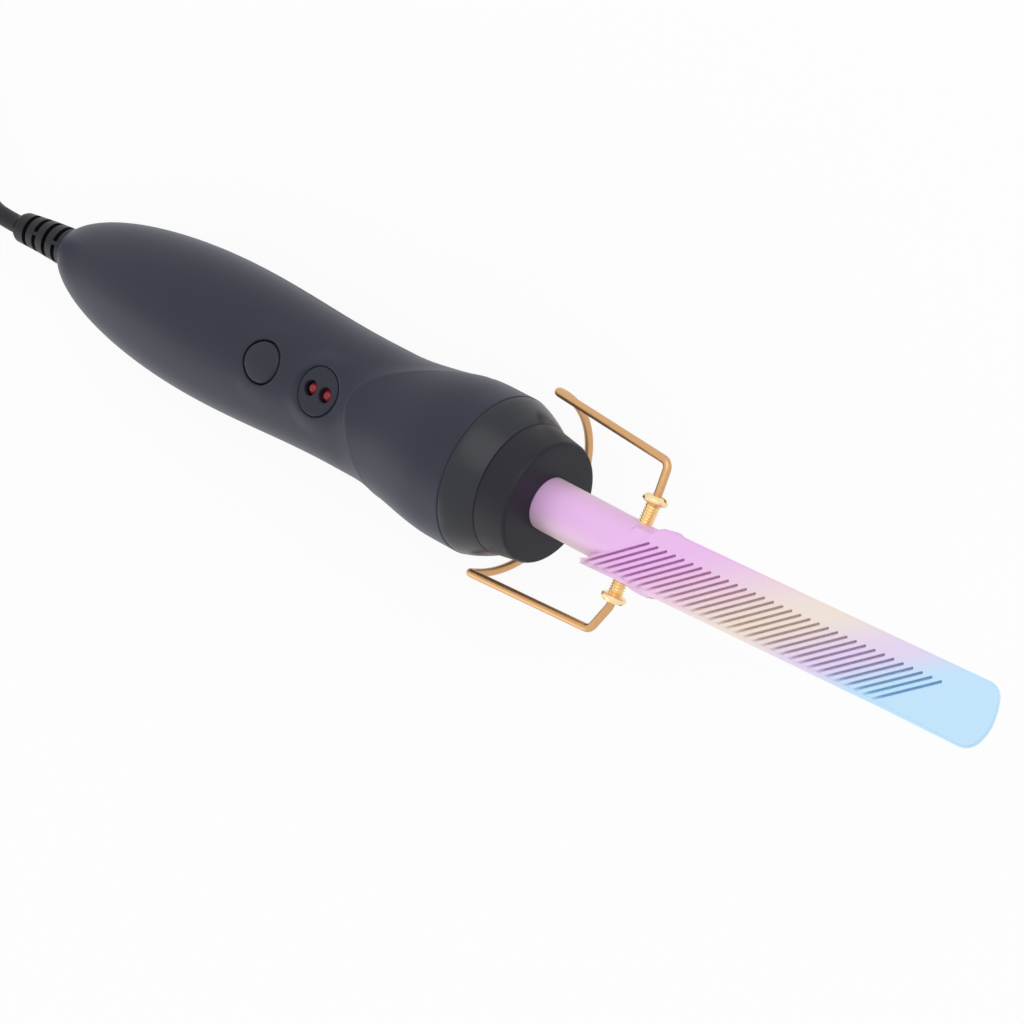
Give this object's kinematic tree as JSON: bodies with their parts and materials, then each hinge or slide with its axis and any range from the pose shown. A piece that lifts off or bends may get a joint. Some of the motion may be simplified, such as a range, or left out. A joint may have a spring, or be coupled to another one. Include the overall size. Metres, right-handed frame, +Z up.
{
  "type": "hot comb",
  "caption": "Electric hot comb: a smooth black handle with a power button and heat lamps, a heated metal comb with slanted teeth, a folding wire stand and a coiled mains cord.",
  "frame": {"origin": "centre of the bounding box of the comb, handle and strain relief, on the floor that the handle and the folded stand rest on", "axes": "+X along the handle towards the tip of the comb, +Z up, the teeth point to -Y"},
  "size_m": [0.4409, 0.0751, 0.0474],
  "materials": {
    "soft_touch_shell": "soft-touch matt black",
    "collar_plastic": "matt black",
    "nose_plastic": "matt charcoal",
    "bush_ceramic": "unglazed",
    "plate_steel": "rolled",
    "screw_steel": "zinc plated",
    "button_plastic": "satin black",
    "switch_plastic": "matt black",
    "panel_plastic": "satin black",
    "lamp_red": "tinted clear red",
    "board_laminate": "solder mask",
    "chip_black": "moulded",
    "film_capacitor": "moulded box",
    "can_sleeve": "shrink sleeve",
    "resistor_coat": "lacquered",
    "fuse_glass": "ceramic tube",
    "cord_rubber": "matt",
    "lead_insulation": "insulated wire",
    "lead_glassfibre": "glass-fibre sleeve",
    "fuse_case": "plated",
    "relief_rubber": "matt",
    "comb_metal": "interference coated, pink to pale blue",
    "element_steel": "drawn",
    "set_screw_steel": "black oxide",
    "screw_brass": "bright",
    "stand_wire_metal": "copper-gold plated wire",
    "tie_plastic": "woven strap look",
    "plug_plastic": "moulded",
    "pin_brass": "nickelled brass"
  },
  "bodies": {
    "handle": {"upper_shell": "soft_touch_shell", "lower_shell": "soft_touch_shell", "collar_ring": "collar_plastic", "nose_cap": "nose_plastic", "nose_bush": "bush_ceramic", "shank_flange": "plate_steel", "flange_screws": "screw_steel", "case_screws": "screw_steel", "switch_body": "switch_plastic", "lamp_panel": "panel_plastic", "low_heat_lamp": "lamp_red", "high_heat_lamp": "lamp_red", "circuit_board": "board_laminate", "board_screws": "screw_steel", "control_chip": "chip_black", "heater_triac": "chip_black", "dropper_capacitor": "film_capacitor", "filter_capacitor": "can_sleeve", "board_resistors": "resistor_coat", "mains_fuse": "fuse_glass", "cord_clamp": "plate_steel", "clamp_screws": "screw_steel", "inner_cord": "cord_rubber", "mains_leads": "lead_insulation", "heater_leads": "lead_glassfibre", "thermal_fuse": "fuse_case", "strain_relief": "relief_rubber", "comb": "comb_metal", "heating_element": "element_steel", "heater_sleeve": "bush_ceramic", "set_screws": "set_screw_steel", "pivot_screw_left": "screw_brass", "pivot_screw_right": "screw_brass", "mains_cord": "cord_rubber", "cord_coil": "cord_rubber", "cord_tie": "tie_plastic", "plug_lead": "cord_rubber", "plug_body": "plug_plastic", "plug_pins": "pin_brass", "pin_sleeves": "plug_plastic"},
    "button": {"power_button": "button_plastic", "switch_plunger": "switch_plastic"},
    "stand": {"stand_wire": "stand_wire_metal"}
  },
  "joints": [
    {"name": "button_press", "type": "slide", "parent": "handle", "child": "button", "axis": [0.0931, 0, -0.9957], "range_m": [0, 0.0005], "stiffness_N_per_m": 1500},
    {"name": "stand_fold", "type": "hinge", "parent": "handle", "child": "stand", "pos_m": [0.05226, 0, 0.03112], "axis": [0, -1, 0], "range_deg": [-6, 132]}
  ]
}
